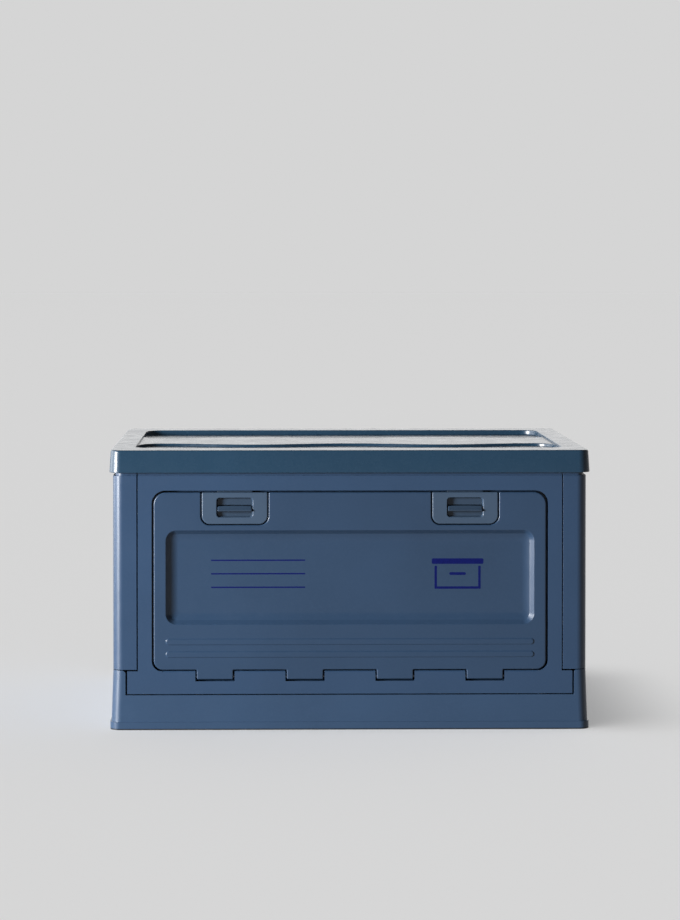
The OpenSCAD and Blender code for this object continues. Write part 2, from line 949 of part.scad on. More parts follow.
base_tray();
left_side_wall();
right_side_wall();
front_wall_frame();
back_wall_panel();
door_panel();
left_latch_housing();
right_latch_housing();
left_latch_slider();
right_latch_slider();
left_latch_cover();
right_latch_cover();
latch_cover_screws();
door_hinge_rod();
front_wall_hinge_rod();
back_wall_hinge_rod();
left_wall_hinge_rod();
right_wall_hinge_rod();
lid();
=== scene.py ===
import json
import math

import bmesh
import bpy
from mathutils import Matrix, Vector
from mathutils.geometry import tessellate_polygon

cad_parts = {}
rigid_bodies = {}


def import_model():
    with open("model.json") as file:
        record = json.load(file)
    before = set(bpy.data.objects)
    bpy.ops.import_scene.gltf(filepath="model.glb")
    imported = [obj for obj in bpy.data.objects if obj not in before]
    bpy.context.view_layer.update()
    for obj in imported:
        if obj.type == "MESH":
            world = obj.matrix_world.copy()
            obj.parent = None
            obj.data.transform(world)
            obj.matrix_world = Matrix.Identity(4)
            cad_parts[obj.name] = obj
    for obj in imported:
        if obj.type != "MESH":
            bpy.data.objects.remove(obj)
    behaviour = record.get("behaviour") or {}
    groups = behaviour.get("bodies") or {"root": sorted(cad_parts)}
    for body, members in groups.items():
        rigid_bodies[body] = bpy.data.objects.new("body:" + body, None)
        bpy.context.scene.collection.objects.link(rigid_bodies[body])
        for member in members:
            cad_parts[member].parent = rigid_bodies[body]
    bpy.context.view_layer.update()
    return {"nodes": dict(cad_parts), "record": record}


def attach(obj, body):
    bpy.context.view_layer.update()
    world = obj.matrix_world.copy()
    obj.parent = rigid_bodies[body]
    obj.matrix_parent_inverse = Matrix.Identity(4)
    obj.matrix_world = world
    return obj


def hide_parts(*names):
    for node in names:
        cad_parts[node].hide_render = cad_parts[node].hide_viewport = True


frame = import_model()

# ---- driving values, in metres unless a name says otherwise ----

SWEEP_GREY = (0.665, 0.665, 0.665)
FLOOR_GREY = (0.80, 0.80, 0.80)
ROOM_DIM = 0.20
SWEEP_GLOW = 0.35
PAPER_FILL = 1.03
ROOM_TOP = 0.05
ROOM_LOW = -0.14
KEY_STRENGTH = 1.04
CRATE_KEY_WATTS = 342.0
CRATE_KEY_RISE_DEG = 9.0
SWEEP_WATTS = 45.0
LEFT_PANEL_WATTS = 92.0
CAMERA_PLACE = (-0.088, -2.850, 0.503)
CAMERA_LENS_MM = 97.1
CAMERA_YAW_DEG = 0.85
CAMERA_PITCH_DEG = 1.0
PRINCIPAL_X = 0.0777
PRINCIPAL_Y = -0.2133
SENSOR_MM = 36.0

BODY_BLUE = (0.0165, 0.0380, 0.0790)
# the base's blue is the body blue made lighter: painted light standing in for the floor's bounce
# on the crate's lower part
BASE_BLUE_BOUNCE_LIT = (0.0190, 0.0420, 0.0840)
DOOR_BLUE = (0.0150, 0.0340, 0.0690)
LID_BLUE = (0.0100, 0.0310, 0.0580)
LATCH_BLUE = (0.0300, 0.0510, 0.0840)
SLIDER_BLUE = (0.0170, 0.0320, 0.0560)
INK_BLUE = (0.0008, 0.0028, 0.0480)
STEEL_GREY = (0.09, 0.09, 0.10)
# painted contact shadow: the colour of the dark line along the base's foot
CONTACT_SHADOW_BLACK = (0.0010, 0.0014, 0.0022)

SLOT_OF_NODE = {row["node"]: row["material_slot"] for row in frame["record"]["subparts"]}
STEEL_NODES = [node for node, slot in SLOT_OF_NODE.items() if slot == "steel"]


# ---- node helpers ----

def new_material(name):
    """An empty node material and its Principled shader."""
    material = bpy.data.materials.new(name)
    material.use_nodes = True
    return material, material.node_tree, material.node_tree.nodes["Principled BSDF"]


def noise(tree, scale, detail, coords, roughness=0.5):
    node = tree.nodes.new("ShaderNodeTexNoise")
    node.inputs["Scale"].default_value = scale
    node.inputs["Detail"].default_value = detail
    node.inputs["Roughness"].default_value = roughness
    tree.links.new(coords, node.inputs["Vector"])
    return node.outputs["Fac"]


def remap(tree, value, low, high, from_low=0.3, from_high=0.7):
    node = tree.nodes.new("ShaderNodeMapRange")
    node.inputs["From Min"].default_value = from_low
    node.inputs["From Max"].default_value = from_high
    node.inputs["To Min"].default_value = low
    node.inputs["To Max"].default_value = high
    tree.links.new(value, node.inputs["Value"])
    return node.outputs["Result"]


def math_node(tree, operation, first, second):
    node = tree.nodes.new("ShaderNodeMath")
    node.operation = operation
    tree.links.new(first, node.inputs[0])
    tree.links.new(second, node.inputs[1])
    return node.outputs["Value"]


def mix_colour(tree, factor, first, second):
    """Mixes two colours; each is a tuple or a socket."""
    node = tree.nodes.new("ShaderNodeMix")
    node.data_type = "RGBA"
    tree.links.new(factor, node.inputs["Factor"])
    for socket, colour in ((node.inputs[6], first), (node.inputs[7], second)):
        if isinstance(colour, tuple):
            socket.default_value = (*colour, 1.0)
        else:
            tree.links.new(colour, socket)
    return node.outputs[2]


def object_coords(tree):
    return tree.nodes.new("ShaderNodeTexCoord").outputs["Object"]


def bump_chain(tree, shader, layers):
    """Stacks bump layers of (height socket, depth in metres) onto the shader's normal."""
    previous = None
    for height, depth in layers:
        node = tree.nodes.new("ShaderNodeBump")
        node.inputs["Distance"].default_value = depth
        node.inputs["Strength"].default_value = 1.0
        tree.links.new(height, node.inputs["Height"])
        if previous is not None:
            tree.links.new(previous, node.inputs["Normal"])
        previous = node.outputs["Normal"]
    tree.links.new(previous, shader.inputs["Normal"])


# ---- materials ----

def moulded_plastic(name, colour, roughness, grain_depth, gloss=0.4, wave_depth=0.0002):
    """Satin polypropylene: cloudy pigment, fine mould grain, faint scuffs and slow waves."""
    material, tree, shader = new_material(name)
    coords = object_coords(tree)
    cloud = noise(tree, 9.0, 3.0, coords)
    fine = noise(tree, 420.0, 2.0, coords)
    scuff = noise(tree, 55.0, 6.0, coords, roughness=0.7)
    darker = tuple(channel * 0.93 for channel in colour)
    lighter = tuple(channel * 1.07 for channel in colour)
    base = mix_colour(tree, remap(tree, cloud, 0.0, 1.0), darker, lighter)
    dusty = tuple(channel * 1.10 + 0.004 for channel in colour)
    flecked = mix_colour(tree, remap(tree, fine, 0.0, 0.35, 0.45, 0.75), base, dusty)
    tree.links.new(flecked, shader.inputs["Base Color"])
    tree.links.new(remap(tree, scuff, roughness - 0.04, roughness + 0.05),
                   shader.inputs["Roughness"])
    shader.inputs["IOR"].default_value = 1.49
    shader.inputs["Specular IOR Level"].default_value = gloss
    slow = noise(tree, 14.0, 1.0, coords)
    grain = noise(tree, 2600.0, 2.0, coords)
    bump_chain(tree, shader, [(slow, wave_depth), (grain, grain_depth)])
    return material


def paint_contact_shadow(material):
    """A painted contact shadow: a dark line along the very foot of the base."""
    tree = material.node_tree
    colour = tree.nodes["Principled BSDF"].inputs["Base Color"]
    unshaded = colour.links[0].from_socket
    split = tree.nodes.new("ShaderNodeSeparateXYZ")
    tree.links.new(object_coords(tree), split.inputs["Vector"])
    shadow_fade = remap(tree, split.outputs["Z"], 0.0, 1.0, 0.0007, 0.0017)
    tree.links.new(mix_colour(tree, shadow_fade, CONTACT_SHADOW_BLACK, unshaded), colour)


def drawn_steel(name):
    """Drawn wire: fine streaks and small changes of gloss."""
    material, tree, shader = new_material(name)
    coords = object_coords(tree)
    streak = noise(tree, 900.0, 3.0, coords)
    cloud = noise(tree, 40.0, 2.0, coords)
    dull = tuple(channel * 0.8 for channel in STEEL_GREY)
    tree.links.new(mix_colour(tree, remap(tree, cloud, 0.0, 1.0), dull, STEEL_GREY),
                   shader.inputs["Base Color"])
    tree.links.new(remap(tree, streak, 0.24, 0.40), shader.inputs["Roughness"])
    shader.inputs["Metallic"].default_value = 1.0
    bump_chain(tree, shader, [(streak, 0.00002)])
    return material


def pad_ink(name):
    """Pad-printed ink: a touch thin in places, and duller than the plastic."""
    material, tree, shader = new_material(name)
    coords = object_coords(tree)
    thin = noise(tree, 700.0, 4.0, coords)
    faded = tuple(channel * 1.5 for channel in INK_BLUE)
    tree.links.new(mix_colour(tree, remap(tree, thin, 0.0, 1.0), INK_BLUE, faded),
                   shader.inputs["Base Color"])
    tree.links.new(remap(tree, thin, 0.46, 0.56), shader.inputs["Roughness"])
    shader.inputs["Specular IOR Level"].default_value = 0.12
    bump_chain(tree, shader, [(thin, 0.00001)])
    return material


def floor_paint(name):
    """Seamless studio paper."""
    material, tree, shader = new_material(name)
    coords = object_coords(tree)
    fibre = noise(tree, 180.0, 4.0, coords)
    low = tuple(channel * 0.995 for channel in FLOOR_GREY)
    tree.links.new(mix_colour(tree, remap(tree, fibre, 0.0, 1.0), low, FLOOR_GREY),
                   shader.inputs["Base Color"])
    shader.inputs["Roughness"].default_value = 0.9
    shader.inputs["Specular IOR Level"].default_value = 0.1
    return material


MATERIALS = {
    # the base plastic carries the lighter blue, painted bounce light on the lower part
    "base_plastic": moulded_plastic("base_plastic", BASE_BLUE_BOUNCE_LIT, 0.34, 0.000012),
    "wall_plastic": moulded_plastic("wall_plastic", BODY_BLUE, 0.33, 0.000012),
    "door_plastic": moulded_plastic("door_plastic", DOOR_BLUE, 0.32, 0.000012),
    "slider_plastic": moulded_plastic("slider_plastic", SLIDER_BLUE, 0.30, 0.000010),
    "latch_plastic": moulded_plastic("latch_plastic", LATCH_BLUE, 0.32, 0.000010),
    "lid_plastic": moulded_plastic("lid_plastic", LID_BLUE, 0.27, 0.000003, gloss=0.38,
                                   wave_depth=0.00012),
    "steel": drawn_steel("drawn_steel"),
}
# paints a contact shadow into the base's colour along its foot
paint_contact_shadow(MATERIALS["base_plastic"])


# ---- moulded meshes ----

# every outline is a list of corners (u, v, radius), counter-clockwise
TINY = 0.00005
FACE_Y = -0.1762
MM = 0.001
SMALL_EDGE = 0.3 * MM
HAIR = 0.2 * MM
BEHIND_SKIN = 2 * MM


def arc_steps(radius):
    return 10 if radius > 8 * MM else 6 if radius > 2 * MM else 4


def outline_ring(corners, inset, least=TINY):
    """Points of an outline with round corners, moved inward by an inset.

    No corner gets a radius below the least one."""
    ring = []
    for index, (u, v, radius) in enumerate(corners):
        before, after = corners[index - 1], corners[(index + 1) % len(corners)]
        arriving = Vector((u - before[0], v - before[1])).normalized()
        leaving = Vector((after[0] - u, after[1] - v)).normalized()
        side = 1 if arriving.cross(leaving) > 0 else -1
        first = Vector((-arriving.y, arriving.x))
        last = Vector((-leaving.y, leaving.x))
        spread = (first + last) / (1 + first.dot(last))
        turned = math.acos(max(-1.0, min(1.0, first.dot(last)))) * side
        now = max(radius - side * inset, least)
        centre = Vector((u, v)) + spread * (inset + side * now)
        steps = arc_steps(radius)
        for step in range(steps + 1):
            angle = turned * step / steps
            normal = Vector((first.x * math.cos(angle) - first.y * math.sin(angle),
                             first.x * math.sin(angle) + first.y * math.cos(angle)))
            ring.append(centre - normal * (side * now))
    return ring


def rounded_box(u0, u1, v0, v1, low_r, top_r=None):
    """Corners of a rectangle."""
    top_r = low_r if top_r is None else top_r
    return [(u0, v0, low_r), (u1, v0, low_r), (u1, v1, top_r), (u0, v1, top_r)]


def fillet(radius, start_inset=0.0, start_depth=0.0, steps=4):
    """Rings of a quarter-round edge, from the flat face down to the side."""
    angles = [math.pi / 2 * step / steps for step in range(steps + 1)]
    return [(start_inset + radius * (1 - math.sin(a)), start_depth + radius * (1 - math.cos(a)))
            for a in angles]


class Moulding:
    """Collects closed surfaces given in (u, v, depth) and makes them one mesh."""

    def __init__(self, place):
        self.place = place
        self.points = []
        self.faces = []

    def loop(self, points, depth):
        start = len(self.points)
        self.points += [self.place(u, v, depth) for u, v in points]
        return start, [Vector((u, v, 0.0)) for u, v in points]

    def bridge(self, first, second):
        count = len(first[1])
        for i in range(count):
            j = (i + 1) % count
            self.faces.append((first[0] + i, first[0] + j, second[0] + j, second[0] + i))

    def run(self, corners, profile, least=TINY):
        """Bridges rings of one outline along a profile of (inset, depth) and returns the ends."""
        return self.join([self.loop(outline_ring(corners, inset, least), depth)
                          for inset, depth in profile])

    def join(self, loops):
        for first, second in zip(loops, loops[1:]):
            self.bridge(first, second)
        return loops[0], loops[-1]

    def cap(self, outer, holes=()):
        """Fills the flat region between an outer loop and the loops of its holes."""
        loops = [outer, *holes]
        where = [start + i for start, flat in loops for i in range(len(flat))]
        for face in tessellate_polygon([flat for _, flat in loops]):
            self.faces.append(tuple(where[i] for i in face))

    def slab(self, corners, depth0, depth1, edge):
        """A closed slab of an outline between two depths, with rounded edges."""
        near = fillet(edge, 0.0, depth0)
        far = [(inset, depth0 + depth1 - depth) for inset, depth in reversed(near)]
        first, last = self.run(corners, near + far)
        self.cap(first)
        self.cap(last)

    def tube(self, corners, thickness, depth0, depth1, edge):
        """A closed border that follows an outline inside, with its far edge rounded."""
        wall = thickness - edge
        first, last = self.run(corners, [
            (0.0, depth0), (0.0, depth1 - edge), (0.3 * edge, depth1 - 0.3 * edge),
            (edge, depth1), (wall, depth1), (wall + 0.7 * edge, depth1 - 0.3 * edge),
            (thickness, depth1 - edge), (thickness, depth0)])
        self.bridge(last, first)

    def finish(self, name, body, slot, material=None, replaces=None):
        mesh = bpy.data.meshes.new(name)
        mesh.from_pydata(self.points, [], self.faces)
        work = bmesh.new()
        work.from_mesh(mesh)
        bmesh.ops.recalc_face_normals(work, faces=work.faces)
        bmesh.ops.dissolve_degenerate(work, dist=1e-6, edges=work.edges)
        work.to_mesh(mesh)
        work.free()
        mesh.materials.append(material or MATERIALS[slot])
        mesh.shade_smooth()
        mesh.set_sharp_from_angle(angle=math.radians(50))
        obj = bpy.data.objects.new(name, mesh)
        bpy.context.scene.collection.objects.link(obj)
        normals = obj.modifiers.new("normals", "WEIGHTED_NORMAL")
        normals.keep_sharp = True
        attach(obj, body)
        if replaces:
            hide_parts(replaces)
        return obj


def upright(u, v, depth):
    """Front pieces: u runs along X, v up, and depth goes in from the walls' outer face."""
    return (u, FACE_Y + depth, v)


def lying(u, v, depth):
    """Lid pieces: u runs along X, v along Y, and depth goes down from the rim's top."""
    return (u, v, LID_TOP - depth)


def crosswise(u, v, depth):
    """Profiles of depth and height, extruded along X."""
    return (depth, FACE_Y + u, v)


# ---- front door ----

SKIN = 3 * MM
DOOR_HALF = 212.0 * MM
DOOR_Z0 = 64.4 * MM
DOOR_Z1 = 256.3 * MM
DOOR_T = 12 * MM
DOOR_TOP_R = 13 * MM
DOOR_LOW_R = 10 * MM
SHARP_R = 1.4 * MM
BORDER_Z0 = 66.8 * MM
BORDER_IN = 2.5 * MM
BORDER_EDGE = 0.5 * MM
DOOR_RIB_XS = [i * 75 * MM for i in range(-2, 3)]
DOOR_RIB_HALF = 1.1 * MM
EDGE_R = 1.2 * MM
KNUCKLE_HALF = 19.7 * MM
KNUCKLE_Z0 = 54.1 * MM
KNUCKLE_XS = [i * 97.3 * MM for i in (-1.5, -0.5, 0.5, 1.5)]
HINGE_IN = 4.5 * MM
HINGE_Z = 57 * MM
KNUCKLE_R = 4.2 * MM
BARREL_IN = 0.4 * MM
BARREL_TOP = 72 * MM
BARREL_INSET = 0.1 * MM
BARREL_EDGE = 0.5 * MM
FIELD_HALF = 199 * MM
FIELD_Z0 = 113.5 * MM
FIELD_Z1 = 215.3 * MM
FIELD_R = 11.5 * MM
FIELD_DEPTH = 6 * MM
RIB_ZS = (81.1 * MM, 94.8 * MM)
RIB_HALF_H = 3.4 * MM
RIB_OUT = 0.8 * MM
LATCH_X = 124.5 * MM
LATCH_HALF = 35.6 * MM
LATCH_Z0 = 221.9 * MM
LATCH_R = 9 * MM
LATCH_GAP = 1.0 * MM


def latch_notch(centre):
    """Corners of a latch cut-out in the door's top edge, met from the right."""
    half = LATCH_HALF + LATCH_GAP
    low = LATCH_Z0 - LATCH_GAP
    corner_r = LATCH_R + LATCH_GAP
    return [(centre + half, DOOR_Z1, SHARP_R), (centre + half, low, corner_r),
            (centre - half, low, corner_r), (centre - half, DOOR_Z1, SHARP_R)]


def knuckle_tab(centre):
    """Corners of a knuckle under the door's lower edge, met from the left."""
    left, right = centre - KNUCKLE_HALF, centre + KNUCKLE_HALF
    return [(left, DOOR_Z0, 1.0 * MM), (left, KNUCKLE_Z0, 1.2 * MM),
            (right, KNUCKLE_Z0, 1.2 * MM), (right, DOOR_Z0, 1.0 * MM)]


def door_corners(low, with_knuckles):
    corners = [(-DOOR_HALF, low, DOOR_LOW_R)]
    if with_knuckles:
        for centre in KNUCKLE_XS:
            corners += knuckle_tab(centre)
    corners += [(DOOR_HALF, low, DOOR_LOW_R), (DOOR_HALF, DOOR_Z1, DOOR_TOP_R)]
    corners += latch_notch(LATCH_X) + latch_notch(-LATCH_X)
    return corners + [(-DOOR_HALF, DOOR_Z1, DOOR_TOP_R)]


def field_profile():
    """A crisp lip, a steep side and a long cove down to the floor of the recessed field."""
    steps = 8
    cove_out, cove_in = 5.0 * MM, 13.0 * MM
    cove_top = 4.55 * MM
    profile = [(-1.5 * MM, 0.0), (-0.5 * MM, 0.0), (-0.15 * MM, 0.05 * MM), (0.1 * MM, 0.2 * MM),
               (0.4 * MM, 0.6 * MM), (4.0 * MM, 4.1 * MM), (4.4 * MM, 4.35 * MM)]
    for step in range(steps + 1):
        share = step / steps
        profile.append((cove_out + (cove_in - cove_out) * share,
                        FIELD_DEPTH - (FIELD_DEPTH - cove_top) * (1 - share) ** 2))
    return profile


def bump_profile():
    """A raised, soft-edged rib, from its foot up."""
    return [(-1.0 * MM, 0.0), (-0.2 * MM, 0.0), (0.05 * MM, -0.1 * MM), (0.35 * MM, -0.55 * MM),
            (0.7 * MM, -0.74 * MM), (1.1 * MM, -RIB_OUT), (1.7 * MM, -RIB_OUT)]


def build_door():
    door = Moulding(upright)
    outer = door_corners(DOOR_Z0, True)
    support = [(EDGE_R + 1.2 * MM, 0.0)]
    front, back = door.run(outer, support + fillet(EDGE_R) + [(0.0, SKIN)])
    field = rounded_box(-FIELD_HALF, FIELD_HALF, FIELD_Z0, FIELD_Z1, FIELD_R)
    rim, floor = door.run(field, field_profile(), least=5 * MM)
    door.cap(floor)
    holes = [rim]
    for z in RIB_ZS:
        rib = rounded_box(-FIELD_HALF, FIELD_HALF, z - RIB_HALF_H, z + RIB_HALF_H, RIB_HALF_H)
        foot, top = door.run(rib, bump_profile())
        door.cap(top)
        holes.append(foot)
    door.cap(front, holes)
    # the backing of the field, behind the skin
    step_in, far = door.run(field, [(-SKIN, SKIN), (-SKIN, FIELD_DEPTH + SKIN - EDGE_R),
                                    (EDGE_R - SKIN, FIELD_DEPTH + SKIN)])
    door.cap(far)
    door.cap(back, [step_in])
    door.tube(door_corners(BORDER_Z0, False), SKIN, BORDER_IN, DOOR_T, BORDER_EDGE)
    for x in DOOR_RIB_XS:
        door.slab(rounded_box(x - DOOR_RIB_HALF, x + DOOR_RIB_HALF, DOOR_Z0 + SKIN, FIELD_Z0,
                              SMALL_EDGE), BEHIND_SKIN, FIELD_DEPTH + SKIN, SMALL_EDGE)
    for side in (-1, 1):
        for offset in (-SCREW_DX, SCREW_DX):
            x = side * LATCH_X + offset
            door.slab(rounded_box(x - BOSS_R, x + BOSS_R, SCREW_Z - BOSS_R, SCREW_Z + BOSS_R,
                                  BOSS_R), BEHIND_SKIN, DOOR_T, SMALL_EDGE)
    door.finish("door_moulding", "door", "door_plastic", replaces="door_panel")
    build_knuckles()


def build_knuckles():
    """The solid barrels behind the door's knuckle tabs, where the hinge rod runs."""
    barrels = Moulding(crosswise)
    profile = rounded_box(BARREL_IN, HINGE_IN + KNUCKLE_R, HINGE_Z - KNUCKLE_R, BARREL_TOP,
                          KNUCKLE_R - TINY, MM)
    half = KNUCKLE_HALF - BARREL_INSET
    for centre in KNUCKLE_XS:
        barrels.slab(profile, centre - half, centre + half, BARREL_EDGE)
    barrels.finish("door_knuckle_barrels", "door", "door_plastic")


# ---- latches ----

SCREW_DX = 41 * MM
SCREW_Z = 236 * MM
BOSS_R = 4 * MM
HOUSING_T = 4 * MM
WINDOW_HALF = 19.5 * MM
WINDOW_Z0 = 229.4 * MM
WINDOW_Z1 = 250.5 * MM
WINDOW_R = 3.4 * MM
WINDOW_LEAN = 0.9 * MM
SLIDER_HALF = 22 * MM
SLIDER_IN = 5 * MM
SLIDER_T = 3 * MM
SLIDER_Z0 = 223.8 * MM
SLIDER_Z1 = 251 * MM
TONGUE_HALF = 19 * MM
TONGUE_Z1 = 258.1 * MM
THUMB_OUT = 2.4 * MM
THUMB_Z0 = 235.4 * MM
THUMB_Z1 = 241.4 * MM
THUMB_HALF = 18.5 * MM
SLOT_H = 1.3 * MM
THUMB_ARCH = 0.45 * MM
THUMB_STEPS = 12
WINDOW_EDGE = 0.7 * MM
PLATE_EDGE = 0.4 * MM
TONGUE_R = 0.6 * MM
GUIDE_OUT = 1.9 * MM
GUIDE_HALF = 1.5 * MM


def build_housing(side, name):
    x = side * LATCH_X
    housing = Moulding(upright)
    plate = rounded_box(x - LATCH_HALF, x + LATCH_HALF, LATCH_Z0, DOOR_Z1, LATCH_R, SHARP_R)
    window = rounded_box(x - WINDOW_HALF, x + WINDOW_HALF, WINDOW_Z0, WINDOW_Z1, WINDOW_R)
    lip = [(-inset, depth) for inset, depth in fillet(WINDOW_EDGE)]
    rim, hole = housing.run(window, [(-2 * WINDOW_EDGE, 0.0)] + lip
                            + [(WINDOW_LEAN, HOUSING_T - HAIR), (WINDOW_LEAN, HOUSING_T)])
    front, back = housing.run(plate, [(1.9 * MM, 0.0)] + fillet(EDGE_R) + [(0.0, HOUSING_T)])
    housing.cap(front, [rim])
    housing.cap(back, [hole])
    for guide in (-1, 1):
        middle = x + guide * (SLIDER_HALF + GUIDE_OUT)
        rail = rounded_box(middle - GUIDE_HALF, middle + GUIDE_HALF, LATCH_Z0 + 2 * MM,
                           DOOR_Z1 - HAIR, PLATE_EDGE)
        housing.slab(rail, BEHIND_SKIN, DOOR_T, SMALL_EDGE)
    stop = rounded_box(x - SLIDER_HALF - MM, x + SLIDER_HALF + MM, LATCH_Z0 + HAIR,
                       SLIDER_Z0 - 2 * HAIR, PLATE_EDGE)
    housing.slab(stop, BEHIND_SKIN, DOOR_T, SMALL_EDGE)
    housing.finish(f"{name}_housing_moulding", "door", "latch_plastic",
                   replaces=f"{name}_housing")


def build_slider(side, name):
    """The bolt plate and its thumb bar, a sloping lip with a slightly arched top."""
    x = side * LATCH_X
    plate = Moulding(upright)
    outline = [(x - SLIDER_HALF, SLIDER_Z0, MM), (x + SLIDER_HALF, SLIDER_Z0, MM),
               (x + SLIDER_HALF, SLIDER_Z1, MM), (x + TONGUE_HALF, SLIDER_Z1, TONGUE_R),
               (x + TONGUE_HALF, TONGUE_Z1, MM), (x - TONGUE_HALF, TONGUE_Z1, MM),
               (x - TONGUE_HALF, SLIDER_Z1, TONGUE_R), (x - SLIDER_HALF, SLIDER_Z1, MM)]
    near, far = plate.run(outline, fillet(PLATE_EDGE, 0.0, SLIDER_IN)
                          + [(0.0, SLIDER_IN + SLIDER_T)])
    slot_z0 = THUMB_Z1 - HAIR
    slot = rounded_box(x - THUMB_HALF, x + THUMB_HALF, slot_z0, slot_z0 + SLOT_H, PLATE_EDGE)
    slot_near, slot_far = plate.run(slot, [(0.0, SLIDER_IN), (0.0, SLIDER_IN + SLIDER_T)])
    plate.cap(near, [slot_near])
    plate.cap(far, [slot_far])
    body = f"{side_name(side)}_latch"
    plate.finish(f"{name}_bolt_plate", body, "latch_plastic", MATERIALS["slider_plastic"],
                 replaces=f"{name}_slider")
    bar = Moulding(crosswise)
    profile = [(SLIDER_IN + MM, THUMB_Z0, SMALL_EDGE), (SLIDER_IN + MM, THUMB_Z1, SMALL_EDGE),
               (1.2 * MM, THUMB_Z1 - 0.1 * MM, 1.0 * MM),
               (-0.9 * MM, THUMB_Z0 + 3.4 * MM, 2.0 * MM),
               (-THUMB_OUT, THUMB_Z0 + 2.0 * MM, 0.5 * MM),
               (-THUMB_OUT + 0.5 * MM, THUMB_Z0 + 0.6 * MM, 0.6 * MM)]
    # sections along the bar: (inset in mm, place as a share of the half length)
    rounded_end = [(0.5, 1.0), (0.12, 0.975), (0.0, 0.94)]
    rows = [(inset, -along) for inset, along in rounded_end]
    rows += [(0.0, -0.9 + 1.8 * i / THUMB_STEPS) for i in range(THUMB_STEPS + 1)]
    rows += reversed(rounded_end)
    loops = []
    for inset, along in rows:
        ring = []
        for u, v in outline_ring(profile, inset * MM):
            share = max(0.0, (v - THUMB_Z0) / (THUMB_Z1 - THUMB_Z0))
            ring.append((u, v + THUMB_ARCH * share * (1 - along * along)))
        loops.append(bar.loop(ring, x + along * THUMB_HALF))
    for end in bar.join(loops):
        bar.cap(end)
    bar.finish(f"{name}_thumb_bar", body, "latch_plastic", MATERIALS["slider_plastic"])


def side_name(side):
    return "left" if side < 0 else "right"


def build_latches():
    for side in (-1, 1):
        name = f"{side_name(side)}_latch"
        build_housing(side, name)
        build_slider(side, name)


# ---- lid ----

LID_HALF_W = 260 * MM
LID_HALF_D = 180 * MM
LID_TOP = 302 * MM
LID_R = 13 * MM
SKIRT_H = 24.2 * MM
LID_DRAFT = 1.4 * MM
LID_EDGE = 2.0 * MM
LID_SKIN = 2.6 * MM
RECESS_HALF_W = 234.5 * MM
RECESS_HALF_D = 143 * MM
RECESS_R = 20 * MM
TROUGH_DEPTH = 5.5 * MM
PLATEAU_DROP = 2.5 * MM
PLATEAU_HALF = 51 * MM
CEILING = 9.2 * MM
WAVE_DEPTH = 9 * MM
WAVE_LENGTH = 214 * MM
FLARE = 26 * MM
WAVE_STEPS = 160
LID_FOOT_EDGE = 0.5 * MM
PAD_X = 248.2 * MM
PAD_HALF_W = 4.5 * MM
PAD_HALF_L = 120 * MM
PAD_LOW = 10.3 * MM


def build_lid():
    lid = Moulding(lying)
    skirt = rounded_box(-LID_HALF_W, LID_HALF_W, -LID_HALF_D, LID_HALF_D, LID_R)
    inner = rounded_box(-LID_HALF_W + LID_SKIN, LID_HALF_W - LID_SKIN, -LID_HALF_D + LID_SKIN,
                        LID_HALF_D - LID_SKIN, LID_R - LID_SKIN)
    recess = rounded_box(-RECESS_HALF_W, RECESS_HALF_W, -RECESS_HALF_D, RECESS_HALF_D, RECESS_R)
    foot_edge = LID_FOOT_EDGE
    top, foot = lid.run(skirt, [(LID_DRAFT + LID_EDGE + 2 * MM, 0.0)]
                        + fillet(LID_EDGE, LID_DRAFT, 0.0, 6)
                        + [(LID_DRAFT * 0.5, SKIRT_H * 0.5), (0.0, SKIRT_H - foot_edge),
                           (0.3 * foot_edge, SKIRT_H - 0.3 * foot_edge), (foot_edge, SKIRT_H)])
    # rim, then the step down to the floor of the recess
    rim, shelf = lid.run(recess, [(-1.5 * MM, 0.0), (-0.8 * MM, 0.0), (-0.25 * MM, 0.15 * MM),
                                  (0.1 * MM, 0.5 * MM), (0.3 * MM, PLATEAU_DROP),
                                  (0.6 * MM, TROUGH_DEPTH - 0.6 * MM),
                                  (0.9 * MM, TROUGH_DEPTH - 0.2 * MM), (1.6 * MM, TROUGH_DEPTH),
                                  (2.4 * MM, TROUGH_DEPTH)])
    lid.cap(top, [rim])
    lid.cap(shelf)
    # underside: skirt, rim channel, ceiling and the hollow under the raised middle
    lip, channel = lid.run(inner, [(-0.3 * foot_edge, SKIRT_H), (0.0, SKIRT_H - foot_edge),
                                   (LID_DRAFT, LID_SKIN + MM), (LID_DRAFT + MM, LID_SKIN)])
    lid.bridge(foot, lip)
    wall_top, wall_foot = lid.run(recess, [(-LID_SKIN - 0.5 * MM, LID_SKIN),
                                           (-LID_SKIN, LID_SKIN + 0.5 * MM),
                                           (-LID_SKIN, CEILING)])
    lid.cap(channel, [wall_top])
    lid.cap(wall_foot)
    for side in (-1, 1):
        middle = side * PAD_X
        pad = rounded_box(middle - PAD_HALF_W, middle + PAD_HALF_W, -PAD_HALF_L, PAD_HALF_L, MM)
        lid.slab(pad, LID_SKIN - foot_edge, PAD_LOW, SMALL_EDGE)
    add_raised_middle(lid)
    lid.finish("lid_moulding", "lid", "lid_plastic", replaces="lid")


def scallop(u):
    """Half the depth of the lid's raised middle at u; it waves, and flares at both ends."""
    half = RECESS_HALF_W
    wave = WAVE_DEPTH * math.cos(2 * math.pi * u / WAVE_LENGTH)
    into_end = max(0.0, (abs(u) - half + FLARE) / FLARE)
    return PLATEAU_HALF - wave + FLARE * (1 - math.sqrt(max(0.0, 1 - min(into_end, 1.0) ** 2)))


